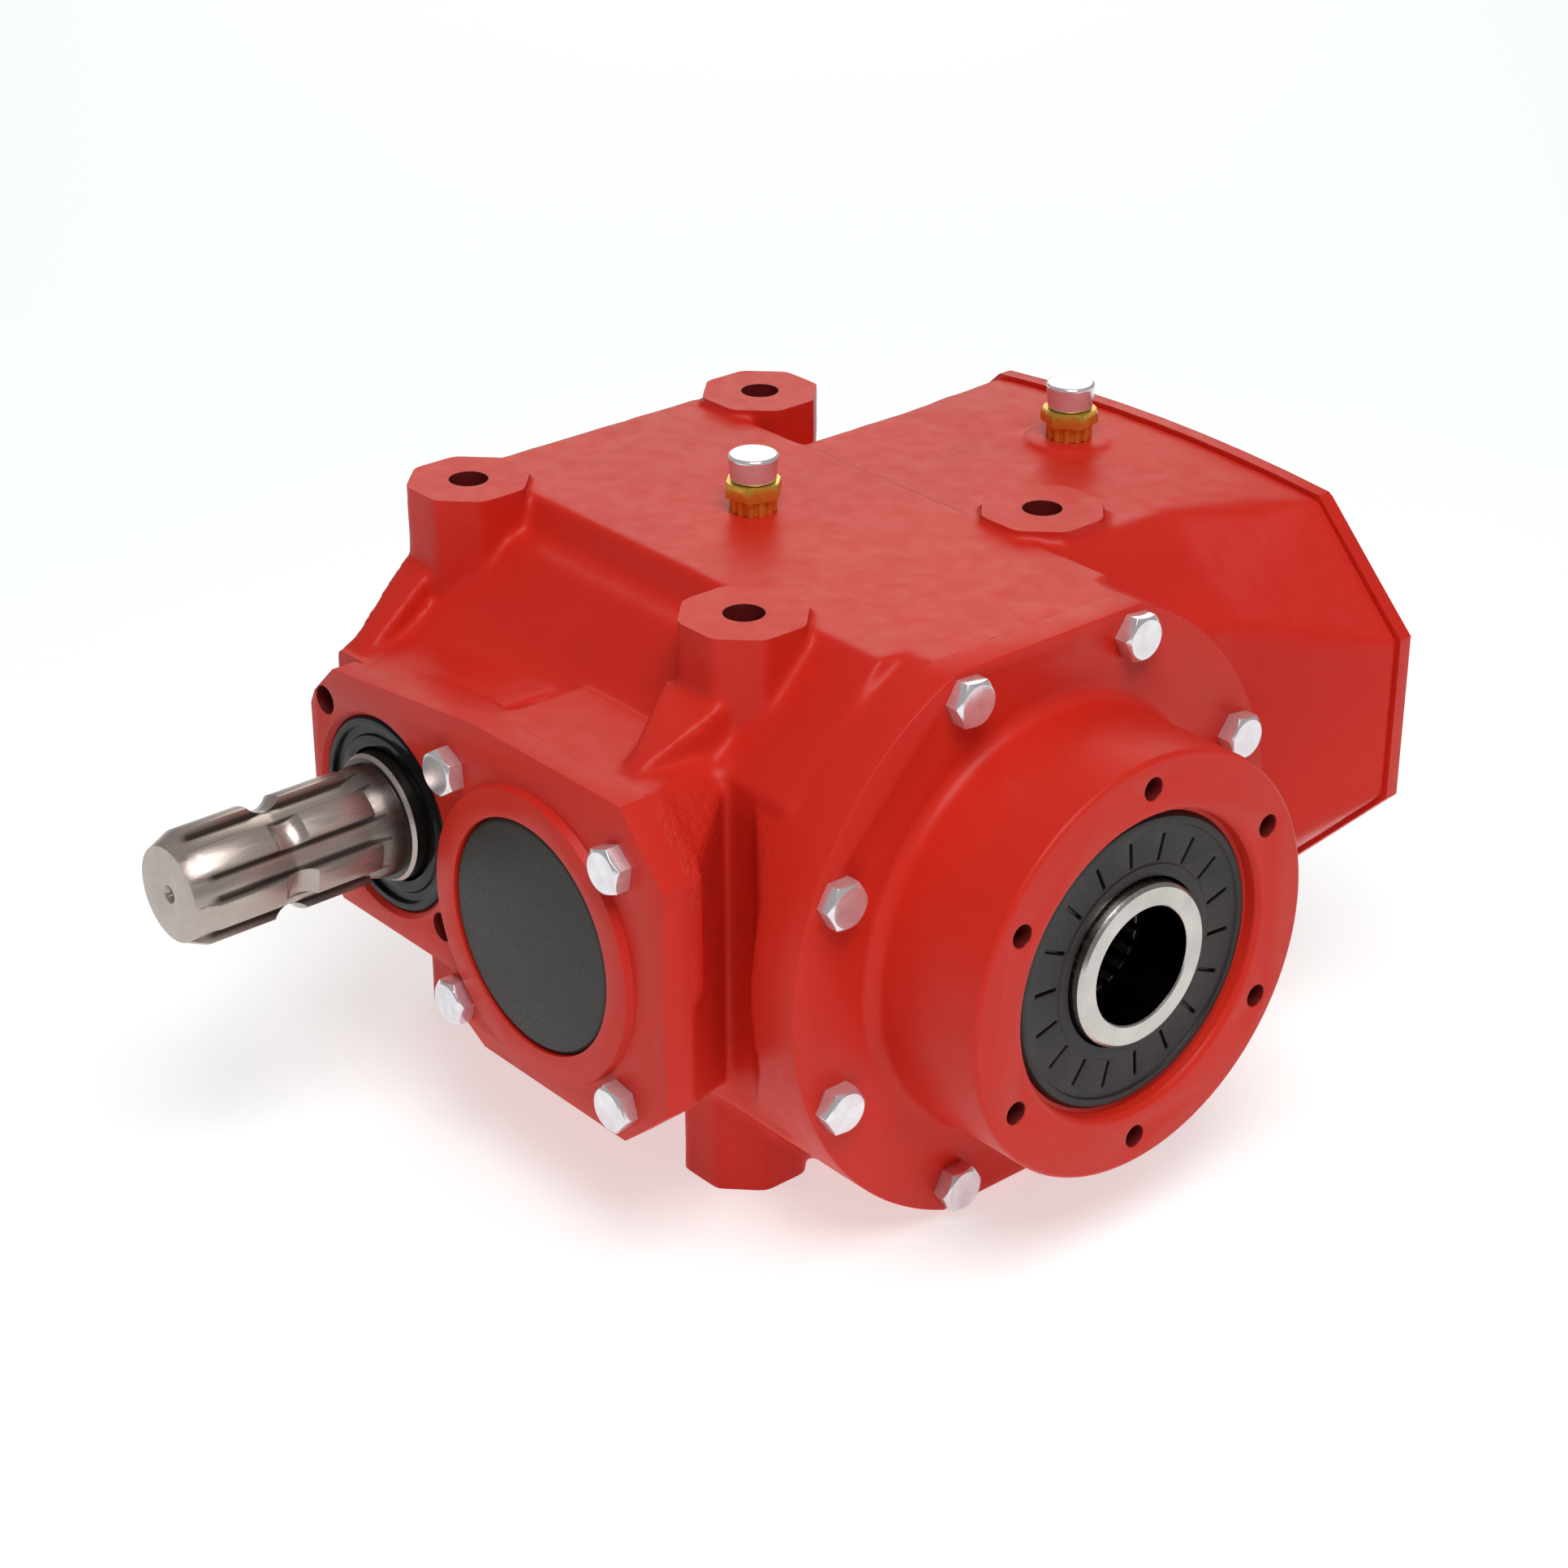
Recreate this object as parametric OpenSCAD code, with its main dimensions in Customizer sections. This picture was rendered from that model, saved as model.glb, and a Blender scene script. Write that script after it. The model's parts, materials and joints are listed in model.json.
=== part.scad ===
// Right angle bevel gearbox: a splined input shaft at the front drives a spur pair in the
// rear chamber, and a bevel pair turns the drive into a hollow output shaft on the right.
// The origin is on the floor, in the middle of the four mounting bosses.

/* [Mounting bosses] */
// Height of the output axis above the base
axis_height = 90; // [88:1:100]
// Spacing of the mounting holes from left to right
boss_pitch_x = 130; // [128:1:132]
// Spacing of the mounting holes from front to back
boss_pitch_y = 116; // [114:1:118]
// Width of an octagonal boss across its flats
boss_flats = 36; // [34:1:38]
// Diameter of a mounting hole, tapped M14
boss_hole_d = 12; // [10:0.5:13]
// Depth of a mounting hole
boss_hole_depth = 24; // [16:1:26]

/* [Housing] */
// Height of the flat top above the output axis
body_half_height = 87; // [86:0.5:87]
// Distance from the middle of the bosses to the left wall
body_left = 80; // [80:1:82]
// Distance from the middle of the bosses to the front wall
body_front = 80; // [80:1:82]
// Thickness of the cast walls
wall = 8; // [7:0.5:9]

/* [Input side] */
// Distance between the input axis and the pinion axis
centre_distance = 75; // [75:1:75]
// Height of the input axis above the output axis
input_rise = 8.5; // [8:0.5:9]
// Distance from the middle of the bosses to the face of the front cover
front_face = 118; // [117:0.5:119]
// Thickness of the front cover
front_cover_t = 8.5; // [8:0.5:9]
// Distance from the middle of the bosses to the end of the input shaft
input_reach = 192; // [188:1:196]
// Outer diameter of the six splines
spline_d = 34.9; // [34:0.1:35.5]
// Diameter between the splines
spline_root_d = 29.6; // [29:0.1:30]
// Width of one spline
spline_w = 8.6; // [8:0.1:9]
// Distance of the lock groove from the end of the shaft
lock_groove_from_end = 34; // [30:1:40]
// Outer diameter of the input seal
input_seal_d = 62; // [62:1:62]
// Diameter of the access cap
access_cap_d = 72; // [72:1:72]

/* [Output side] */
// Distance from the middle of the bosses to the output flange
output_face = 169; // [168:0.5:170]
// Diameter of the output flange
output_flange_d = 130; // [128:1:132]
// Bolt circle of the output flange
output_pcd = 112; // [111:1:113]
// Diameter of a hole in the output flange, tapped M8
output_hole_d = 6.8; // [6.4:0.1:7]
// Diameter of the output seal and bearing
output_seal_d = 90; // [90:1:90]
// Outer diameter of the hollow shaft
hollow_shaft_d = 50; // [50:1:50]
// Diameter of the entry bore of the hollow shaft
entry_bore_d = 36; // [35:0.5:37]
// Depth of the entry bore, down to the inner splines
entry_bore_depth = 19; // [16:1:40]
// Number of splines inside the hollow shaft
inner_spline_count = 21; // [12:1:24]
// Diameter of the round flange of the output cover
cover_flange_d = 188; // [187:1:190]
// Bolt circle of the output cover
cover_pcd = 170; // [169:1:171]

/* [Gears] */
// Teeth on the bevel pinion
pinion_teeth = 12; // [12:1:12]
// Teeth on the crown gear
crown_teeth = 30; // [30:1:30]
// Module of the bevel pair at its outer end
bevel_module = 4.5; // [4.4:0.05:4.5]
// Face width of the bevel pair
bevel_face = 20; // [16:1:20]
// Teeth on the drive gear
drive_teeth = 24; // [24:1:24]
// Teeth on the driven gear
driven_teeth = 26; // [26:1:26]
// Face width of the spur pair
spur_face = 13; // [10:0.5:13]
// Play taken from each flank
backlash = 0.15; // [0.1:0.01:0.2]

/* [Fasteners] */
// Width across the flats of the bolt heads
bolt_flats = 13; // [12:0.5:13]
// Height of the bolt heads
bolt_head_h = 5.5; // [5:0.1:6]
// Thread diameter of the cover bolts
bolt_d = 8; // [7:0.5:8]

/* [Hidden] */

$fn = 72;
eps = 0.01;

red = [0.77, 0.16, 0.15];
steel = [0.60, 0.58, 0.56];
bright = [0.80, 0.80, 0.82];
black = [0.12, 0.11, 0.11];
brass = [0.80, 0.58, 0.18];
paper = [0.55, 0.42, 0.30];

// Axes: the output axis runs along X through the origin of the working frame, which is
// axis_height above the floor.
pinion_x = 43.5;
input_x = pinion_x - sqrt(centre_distance * centre_distance - input_rise * input_rise);
boss_top = axis_height;
boss_start = 62;
housing_front = front_face - front_cover_t - 0.5;
housing_right = 117.5;
cover_face = 128;
cover_gasket = 0.5;
slope_top_y = 46;
slope_low_z = 53;
step_y = 43;
chamber_back = 134;
rear_gasket_t = 0.5;
rear_cover_t = 6.5;
rear_face = chamber_back + rear_gasket_t + rear_cover_t;
partition_front = 72;
partition_back = 80;
hub_back = 112;

// Bearing sizes: inner diameter, outer diameter, width
bearing_input_front = [35, 62, 14];
bearing_input_rear = [30, 62, 16];
bearing_pinion = [35, 72, 17];
bearing_output_inner = [45, 85, 19];
bearing_output_end = [50, 90, 20];
input_front_bearing_y = -108;
input_rear_bearing_y = 96;
pinion_front_bearing_y = 74;
pinion_rear_bearing_y = 95;
output_inner_bearing_x = -5;
output_end_bearing_x = 128;

spur_module = 2 * centre_distance / (drive_teeth + driven_teeth);
spur_y = 113;
pressure_angle = 20;
mesh_angle = atan2(input_rise, pinion_x - input_x);
input_spline_angle = -50;
circlip_x = output_end_bearing_x + bearing_output_end[2];
shaft_end = output_face - 0.5;
neck_r = output_flange_d / 2;
// Half the change in radius along a taper bearing
taper = 1.6;

// Crowned top edge of the rear chamber: an arc of radius crown_r between two shoulders
crown_rise = 3.5;
crown_half = 69.5;
crown_r = (crown_half * crown_half + crown_rise * crown_rise) / (2 * crown_rise);
crown_x = 37;
crown_angle = asin(crown_half / crown_r);
shoulder_z = 85;

// Hubs and passages of the bearings, the room for the crown gear and the wall about it
input_hub_r = 37.5;
input_passage_r = 26.5;
pinion_hub_r = 43;
pinion_passage_r = 32;
output_hub_r = 49;
output_passage_r = 37;
access_passage_r = 33;
crown_room_r = 71;
crown_wall_r = 79.5;
cover_opening_r = 74;
bolt_boss_r = 7.5;

// Fittings: breathers on top, drain plugs below, level plugs in the left wall and rear cover
breather_points = [[4, -3], [25, 109]];
breather_base = [body_half_height, body_half_height + 1.2];
breather_thread_d = 10;
drain_thread_d = 14;
drain_points = [[-30, 0, -body_half_height], [30, 108, -64]];
level_point = [30, -40];
rear_level_point = [104, -10];

// ---------------------------------------------------------------- placing helpers
module at_axis() { translate([0, 0, axis_height]) children(); }
module along_x() { rotate([0, 90, 0]) children(); }
module along_y() { rotate([-90, 0, 0]) children(); }
module at_input() { translate([input_x, 0, input_rise]) along_y() children(); }
module at_pinion() { translate([pinion_x, 0, 0]) along_y() children(); }
// A flat outline drawn in x and z becomes a slab from y0 to y1
module slab_y(y0, y1) { translate([0, y1, 0]) rotate([90, 0, 0]) linear_extrude(y1 - y0) children(); }
// A flat outline drawn in y and z becomes a slab from x0 to x1
module slab_x(x0, x1) {
    translate([x0, 0, 0]) rotate([90, 0, 90]) linear_extrude(x1 - x0) children();
}
module ring(outer_r, inner_r, h) {
    difference() {
        cylinder(r = outer_r, h = h);
        translate([0, 0, -1]) cylinder(r = inner_r, h = h + 2);
    }
}
function arc(c, r, a0, a1, n) =
    [for (i = [0:n]) let (a = a0 + (a1 - a0) * i / n) [c[0] + r * cos(a), c[1] + r * sin(a)]];
function polar(r, a) = [r * cos(a), r * sin(a)];

// ---------------------------------------------------------------- outlines
// Rear chamber at its open end, grown by g
function chamber_outline(g) = concat(
    arc([crown_x, shoulder_z + crown_rise - crown_r], crown_r + g, 90 + crown_angle, 90 - crown_angle, 8),
    [
        [141 + g, 50 + g / 2], [141 + g, -2 - g / 2], [79 + g / 2, -64 - g],
        [-48 - g / 2, -64 - g], [-80 - g, -30 - g / 2], [-80 - g, 40 + g / 2]
    ]);
// Rear chamber where it leaves the main block, grown by g
function chamber_neck(g) = [
    [-28, 86 + g], [84, 86 + g], [115 + g, 60 + g / 2], [115 + g, -30 - g / 2],
    [82 + g / 2, -64 - g], [-48 - g / 2, -64 - g], [-80 - g, -30 - g / 2], [-80 - g, 36 + g / 2]
];
// Section of the main block in y and z, grown by g
function block_section(y_back, g) = let (f = 0.414 * g) [
    [-body_front - g, slope_low_z + f], [-slope_top_y - f, body_half_height + g],
    [y_back, body_half_height + g], [y_back, -body_half_height - g],
    [-slope_top_y - f, -body_half_height - g], [-body_front - g, -slope_low_z - f]
];
// Front cover in x and z
cover_left = [[-54, 48.5], [-64.5, 38], [-67, 33], [-67, -19], [-56, -30]];
cover_right = [[7, -45], [16, -50], [83, -50], [102.5, -33], [102.5, 38], [84, 57], [17, 57]];
cover_outline = concat(cover_left, [[0, -30]], cover_right);
front_bolts = [for (sx = [-1, 1], sz = [-1, 1]) [pinion_x + sx * 38.5, sz * 38]];
guard_holes = [[-28, 28], [-28, -28], [28, -26]];
rear_bolts = [
    [-24, 74.5], [37, 78], [98, 73.5], [125, 44], [125, 4], [76, -53],
    [16, -54], [-44, -53], [-69, -22], [-70, 37]
];

// ---------------------------------------------------------------- housing
module block_outer() {
    difference() {
        slab_x(-body_left, housing_right - 9) polygon(block_section(step_y, 0));
        // Shoulder along the top front edge
        slab_x(-body_left - 1, 82)
            polygon([[-59, 74.5], [-50.5, 77.2], [-46.8, 86], [-46.8, 95], [-70, 95]]);
    }
}
module rear_chamber_outer() {
    slab_y(step_y - 1, 90) polygon(chamber_neck(0));
    hull() {
        slab_y(89, 90) polygon(chamber_neck(0));
        slab_y(chamber_back - 1, chamber_back) polygon(chamber_outline(0));
    }
}
module flange_disc(x0, x1, r) {
    intersection() {
        translate([x0, 0, 0]) along_x() cylinder(r = r, h = x1 - x0, $fn = 120);
        translate([x0 - 1, -r, -body_half_height]) cube([x1 - x0 + 2, 2 * r, 2 * body_half_height]);
    }
}
// Octagonal columns above and below the housing: the front pairs start at z_front, the rear
// pairs at z_rear
module boss_columns(z_front, z_rear) {
    for (sx = [-1, 1], sy = [-1, 1], s = [0, 1])
        let (z0 = sy < 0 ? z_front : z_rear)
        mirror([0, 0, s]) translate([sx * boss_pitch_x / 2, sy * boss_pitch_y / 2, z0])
            rotate(22.5) cylinder(r = boss_flats / 2 / cos(22.5), h = boss_top - z0, $fn = 8);
}
// Sloped front between the two front bosses: a flat run, a round hollow and a 45 degree rise
slope_profile = concat(
    [[-housing_front, 40], [-housing_front, 49], [-102, 49]],
    arc([-102, 93], 44, -90, -45, 8),
    [[-58, 75.5], [-50.5, 77.2], [-46.8, 86], [-slope_top_y, 86], [-slope_top_y, 40]]);
module front_slope() {
    intersection() {
        slab_x(-body_left, 82) polygon(slope_profile);
        translate([0, 0, 30]) linear_extrude(70) polygon([
            [-64, -housing_front], [-80, -76], [-80, 0], [82, 0], [80, -body_front + 4],
            [102, -housing_front]
        ]);
    }
}
// Neck that carries the front cover, in a left and a right part
module front_neck() {
    hull() {
        slab_y(-housing_front, -housing_front + 1)
            polygon(concat(cover_left, [[10, -30], [10, 54]]));
        slab_y(-body_front - 1, -body_front + 1)
            polygon([[-66, 50], [-80, 40], [-80, -30], [10, -34], [10, 54]]);
    }
    hull() {
        slab_y(-housing_front, -housing_front + 1)
            polygon(concat([[0, 20], [0, -30]], cover_right));
        slab_y(-body_front - 1, -body_front + 1)
            polygon([[0, 20], [0, -50], [72, -52], [82, -46], [82, 51], [76, 57], [17, 57]]);
    }
    hull() {
        slab_y(-housing_front, -housing_front + 6)
            polygon([cover_left[0], cover_left[1], [0, 0], cover_right[6]]);
        slab_y(-housing_front, -housing_front + 6)
            polygon([cover_right[6], cover_right[5], cover_right[4], [102.5, 0], [0, 0]]);
    }
}
// Gusset from the foot of a front boss down to the corner of the cover
module gusset(x_boss, w_boss, z_boss, x_cover, w_cover, z_cover, y_cover) {
    hull() {
        translate([x_boss - w_boss, -77, z_boss - 30]) cube([w_boss, 3, 30]);
        translate([x_cover - w_cover, y_cover, z_cover - 12]) cube([w_cover, 3, 12]);
    }
}
// Wedge from the front wall out to the back of the round flange
module flange_wedge() {
    intersection() {
        translate([0, 0, -50]) linear_extrude(100)
            polygon([[95, -79], [95, -80], [housing_right - 8, -90.5], [housing_right - 8, -79]]);
        along_x() cylinder(r = cover_flange_d / 2, h = housing_right, $fn = 120);
    }
}
module housing_outer() {
    block_outer();
    rear_chamber_outer();
    flange_disc(housing_right - 9, housing_right, cover_flange_d / 2);
    // Round wall about the crown gear and the output opening
    translate([56, 0, 0]) along_x() cylinder(r = crown_wall_r, h = housing_right - 57, $fn = 120);
    boss_columns(55, 34);
    front_neck();
    front_slope();
    gusset(-61, 14, 66, -54, 9, 49, -housing_front + 2);
    gusset(76, 24, 70, 73, 5, 58, -104);
    flange_wedge();
    // Pad of the rear breather
    translate([breather_points[1][0], breather_points[1][1], 84]) cylinder(d = 26, h = 4.2);
}
module housing_cavity() {
    // Bevel chamber, its narrower back, room for the crown gear and the opening for the output cover
    slab_x(-body_left + wall, housing_right - 17) polygon(block_section(step_y - wall, -wall));
    slab_y(step_y - wall - 1, partition_front) polygon(chamber_neck(-wall));
    translate([58, 0, 0]) along_x() cylinder(r = crown_room_r, h = 46, $fn = 120);
    translate([102, 0, 0]) along_x() cylinder(r = cover_opening_r, h = 40, $fn = 120);
    // Spur chamber behind the partition
    slab_y(partition_back, 90) polygon(chamber_neck(-wall));
    hull() {
        slab_y(89, 90) polygon(chamber_neck(-wall));
        slab_y(chamber_back, chamber_back + 1) polygon(chamber_outline(-wall));
    }
}
// Material that stands inside the cavity
module housing_inner() {
    // Web and ring for the inner output bearing
    slab_x(-8, 0) polygon(block_section(partition_front, 0.5 - wall));
    translate([-8, 0, 0]) along_x() cylinder(r = output_hub_r, h = 22);
    // Partition hubs for the input and pinion bearings
    at_pinion() translate([0, 0, partition_front]) cylinder(r = pinion_hub_r, h = hub_back - partition_front);
    at_input() translate([0, 0, partition_front]) cylinder(r = input_hub_r, h = hub_back - partition_front);
    boss_columns(boss_start, boss_start);
    // Bosses for the rear cover bolts
    for (p = rear_bolts)
        translate([p[0], hub_back, p[1]]) along_y() cylinder(r = bolt_boss_r, h = chamber_back - hub_back);
}
module housing_holes() {
    // Mounting holes
    for (sx = [-1, 1], sy = [-1, 1], s = [0, 1])
        mirror([0, 0, s])
            translate([sx * boss_pitch_x / 2, sy * boss_pitch_y / 2, boss_top - boss_hole_depth])
                cylinder(d = boss_hole_d, h = boss_hole_depth + 1);
    // Input bearings
    at_input() {
        translate([0, 0, -housing_front - 1]) cylinder(d = bearing_input_front[1], h = 16);
        translate([0, 0, -housing_front - 1]) cylinder(r = input_passage_r, h = 50);
        translate([0, 0, 60]) cylinder(r = input_passage_r, h = 50);
        translate([0, 0, input_rear_bearing_y]) cylinder(d = bearing_input_rear[1], h = 20);
    }
    // Access bore and pinion bearings
    at_pinion() {
        translate([0, 0, -housing_front - 1]) cylinder(r = access_passage_r, h = 50);
        translate([0, 0, 60])
            cylinder(d = bearing_pinion[1], h = pinion_front_bearing_y + bearing_pinion[2] - 60);
        translate([0, 0, 60]) cylinder(r = pinion_passage_r, h = 50);
        translate([0, 0, pinion_rear_bearing_y]) cylinder(d = bearing_pinion[1], h = 20);
    }
    // Inner output bearing and the oil windows of its web
    translate([-20, 0, 0]) along_x() cylinder(r = output_passage_r, h = 40);
    translate([output_inner_bearing_x, 0, 0]) along_x() cylinder(d = bearing_output_inner[1], h = 40);
    for (s = [-1, 1]) translate([-20, -22, s * 64 - 9]) cube([30, 44, 18]);
    // Output cover bolts
    for (i = [0:7]) rotate([22.5 + 45 * i, 0, 0])
        translate([housing_right - 14, cover_pcd / 2, 0]) along_x() cylinder(d = bolt_d, h = 20);
    // Front cover bolts and guard holes
    for (p = front_bolts)
        translate([p[0], -housing_front - 1, p[1]]) along_y() cylinder(d = bolt_d, h = 19);
    for (p = guard_holes)
        translate([input_x + p[0], -housing_front - 1, input_rise + p[1]])
            along_y() cylinder(d = 6.8, h = 15);
    // Rear cover bolts
    for (p = rear_bolts)
        translate([p[0], chamber_back - 14, p[1]]) along_y() cylinder(d = bolt_d, h = 20);
    // Breathers, drain plugs and level plugs
    for (p = breather_points)
        translate([p[0], p[1], 60]) cylinder(d = breather_thread_d, h = 40);
    for (p = drain_points)
        translate([p[0], p[1], p[2] - 1]) cylinder(d = drain_thread_d, h = 20);
    translate([-body_left - 1, level_point[0], level_point[1]])
        along_x() cylinder(d = drain_thread_d, h = 20);
    // Room for the flange of the output cover
    translate([housing_right, 0, 0]) along_x() cylinder(r = cover_flange_d / 2 + 1.5, h = 60, $fn = 120);
}
module housing() {
    color(red) at_axis() difference() {
        housing_outer();
        difference() {
            housing_cavity();
            housing_inner();
        }
        housing_holes();
    }
}

// ---------------------------------------------------------------- covers and gaskets
module front_cover() {
    color(red) at_axis() difference() {
        union() {
            slab_y(-front_face, -front_face + front_cover_t) polygon(cover_outline);
            // Raised ring around the access cap
            at_pinion() translate([0, 0, -front_face - 2.5]) cylinder(r1 = 44.5, r2 = 45.5, h = 3);
        }
        at_pinion() translate([0, 0, -front_face - 5]) cylinder(d = access_cap_d, h = 20);
        at_input() {
            translate([0, 0, -front_face - 1]) cylinder(d = input_seal_d, h = 20);
            translate([0, 0, -front_face - eps]) cylinder(d1 = input_seal_d + 3, d2 = input_seal_d, h = 1.5);
        }
        for (p = front_bolts)
            translate([p[0], -front_face - 1, p[1]]) along_y() {
                cylinder(d = bolt_d + 0.8, h = 20);
                translate([0, 0, -3]) cylinder(r = bolt_flats / 2 + 2, h = 4);
            }
        for (p = guard_holes)
            translate([input_x + p[0], -front_face - 1, input_rise + p[1]]) along_y() cylinder(d = 9, h = 20);
    }
}
module front_gasket() {
    y = -front_face + front_cover_t;
    color(paper) at_axis() difference() {
        slab_y(y, -housing_front) polygon(cover_outline);
        at_pinion() translate([0, 0, y - 1]) cylinder(d = access_cap_d + 1, h = 3);
        at_input() translate([0, 0, y - 1]) cylinder(d = input_seal_d + 1, h = 3);
        for (p = front_bolts) translate([p[0], y - 1, p[1]]) along_y() cylinder(d = bolt_d + 1, h = 3);
        for (p = guard_holes)
            translate([input_x + p[0], y - 1, input_rise + p[1]]) along_y() cylinder(d = 9, h = 3);
    }
}
module output_cover() {
    x0 = housing_right + cover_gasket;
    color(red) at_axis() difference() {
        union() {
            flange_disc(x0, cover_face, cover_flange_d / 2);
            translate([x0 - 10, 0, 0]) along_x() ring(cover_opening_r - 0.05, 64, 10.5);
            along_x() rotate_extrude($fn = 120) polygon(concat(
                [[30, x0], [neck_r + 5, x0], [neck_r + 5, cover_face]],
                arc([neck_r + 5, cover_face + 5], 5, -90, -180, 6),
                [[neck_r, output_face - 1], [neck_r - 1, output_face], [30, output_face]]
            ));
        }
        // Bearing seat, its snap ring groove and the seal seat
        along_x() rotate_extrude($fn = 120) polygon([
            [0, x0 - 1], [60, x0 - 1], [60, x0 + 2], [52, x0 + 6], [40, x0 + 6], [40, output_end_bearing_x],
            [output_seal_d / 2, output_end_bearing_x], [output_seal_d / 2, circlip_x],
            [output_seal_d / 2 + 2, circlip_x], [output_seal_d / 2 + 2, circlip_x + 2.5],
            [output_seal_d / 2, circlip_x + 2.5], [output_seal_d / 2, output_face - 5],
            [output_seal_d / 2 + 1.6, output_face - 5], [output_seal_d / 2 + 1.8, output_face - 1.4],
            [output_seal_d / 2 + 3.2, output_face], [output_seal_d / 2 + 3.2, output_face + 1],
            [0, output_face + 1]
        ]);
        for (i = [0:7]) rotate([22.5 + 45 * i, 0, 0])
            translate([x0 - 1, cover_pcd / 2, 0]) along_x() cylinder(d = bolt_d + 0.8, h = 20);
        for (i = [0:5]) rotate([30 + 60 * i, 0, 0])
            translate([output_face - 18, output_pcd / 2, 0]) along_x() cylinder(d = output_hole_d, h = 20);
    }
}
module output_gasket() {
    color(paper) at_axis() difference() {
        flange_disc(housing_right, housing_right + cover_gasket, cover_flange_d / 2);
        translate([housing_right - 1, 0, 0]) along_x() cylinder(r = cover_opening_r + 0.5, h = 3);
        for (i = [0:7]) rotate([22.5 + 45 * i, 0, 0])
            translate([housing_right - 1, cover_pcd / 2, 0]) along_x() cylinder(d = bolt_d + 1, h = 3);
    }
}
module rear_cover() {
    y0 = chamber_back + rear_gasket_t;
    edge = 1.5;
    color(red) at_axis() difference() {
        union() {
            slab_y(y0, y0 + rear_cover_t - edge) polygon(chamber_outline(edge));
            slab_y(y0 + 1, y0 + rear_cover_t) polygon(chamber_outline(0));
            // Stiffening pads behind the two shafts
            at_pinion() translate([0, 0, y0]) cylinder(r1 = 35, r2 = 33, h = rear_cover_t + 2.5);
            at_input() translate([0, 0, y0]) cylinder(r1 = 29, r2 = 27, h = rear_cover_t + 2.5);
            translate([rear_level_point[0], 0, rear_level_point[1]]) along_y()
                translate([0, 0, y0]) cylinder(r = 12, h = rear_cover_t + 1.5);
        }
        for (p = rear_bolts) translate([p[0], y0 - 1, p[1]]) along_y() cylinder(d = bolt_d + 0.8, h = 20);
        translate([rear_level_point[0], y0 - 1, rear_level_point[1]])
            along_y() cylinder(d = drain_thread_d, h = 20);
    }
}
module rear_gasket() {
    color(paper) at_axis() difference() {
        slab_y(chamber_back, chamber_back + rear_gasket_t) polygon(chamber_outline(-0.5));
        difference() {
            slab_y(chamber_back - 1, chamber_back + 2) polygon(chamber_outline(-wall));
            for (p = rear_bolts)
                translate([p[0], chamber_back - 2, p[1]]) along_y() cylinder(r = bolt_boss_r, h = 6);
        }
        for (p = rear_bolts)
            translate([p[0], chamber_back - 1, p[1]]) along_y() cylinder(d = bolt_d + 1, h = 3);
    }
}

// ---------------------------------------------------------------- fasteners and fittings
// Bolt with its head above z = 0, its chamfered top upwards and its shank below
module hex_bolt(shank, turn) {
    face_r = bolt_flats / 2 - 0.6;
    slope = 1.34;
    intersection() {
        rotate(turn) cylinder(r = bolt_flats / 2 / cos(30), h = bolt_head_h, $fn = 6);
        translate([0, 0, -1])
            cylinder(r1 = face_r + slope * (bolt_head_h + 1), r2 = face_r - slope, h = bolt_head_h + 2);
    }
    translate([0, 0, -shank]) cylinder(d = bolt_d, h = shank + eps);
}
module front_cover_bolts() {
    turns = [10, 35, 50, 20];
    color(bright) at_axis() for (i = [0:3])
        translate([front_bolts[i][0], -front_face, front_bolts[i][1]]) rotate([90, 0, 0])
            hex_bolt(front_cover_t + 14, turns[i]);
}
module output_cover_bolts() {
    color(bright) at_axis() for (i = [0:7]) rotate([22.5 + 45 * i, 0, 0])
        translate([cover_face, cover_pcd / 2, 0]) along_x() hex_bolt(20, 17 * i);
}
module rear_cover_bolts() {
    color(bright) at_axis() for (i = [0:len(rear_bolts) - 1])
        translate([rear_bolts[i][0], rear_face, rear_bolts[i][1]])
            along_y() hex_bolt(rear_cover_t + 12, 23 * i);
}
module access_cap() {
    color(black) at_axis() at_pinion() translate([0, 0, -front_face - 2]) rotate_extrude($fn = 120) polygon([
        [0, 0], [access_cap_d / 2 - 1.5, 0], [access_cap_d / 2, 1.5], [access_cap_d / 2, 8],
        [access_cap_d / 2 - 3, 8], [access_cap_d / 2 - 3, 3], [0, 3]
    ]);
}
// Shaft seal with its face at z = 0, its web sunk by the recess and its lip towards the shaft
module shaft_seal(outer_r, shaft_r, t, recess) {
    gap = 0.05;
    rotate_extrude($fn = 96) polygon([
        [outer_r - 1, 0], [outer_r, 1], [outer_r, t], [outer_r - 2, t], [outer_r - 2, 4.5],
        [shaft_r + 3, 4.5], [shaft_r + 2, t - 1], [shaft_r + gap, t - 2.5], [shaft_r + 1.5, 2.2],
        [shaft_r + 1, recess / 2], [shaft_r + 4.5, recess / 2], [shaft_r + 5, recess],
        [outer_r - 3.5, recess], [outer_r - 3, 0]
    ]);
}
module input_seal() {
    color(black) at_axis() at_input() translate([0, 0, -front_face + 0.8])
        shaft_seal(input_seal_d / 2, 20, 8, 1.6);
}
module output_seal() {
    color(black) at_axis() translate([output_face - 3.5, 0, 0]) rotate([0, -90, 0]) difference() {
        shaft_seal(output_seal_d / 2, hollow_shaft_d / 2, 10, 0.8);
        // Moulded radial slots in the face
        for (i = [0:17]) rotate(20 * i + 15) translate([30.5, -0.6, -1]) cube([8.2, 1.2, 3.4]);
    }
}
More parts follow.
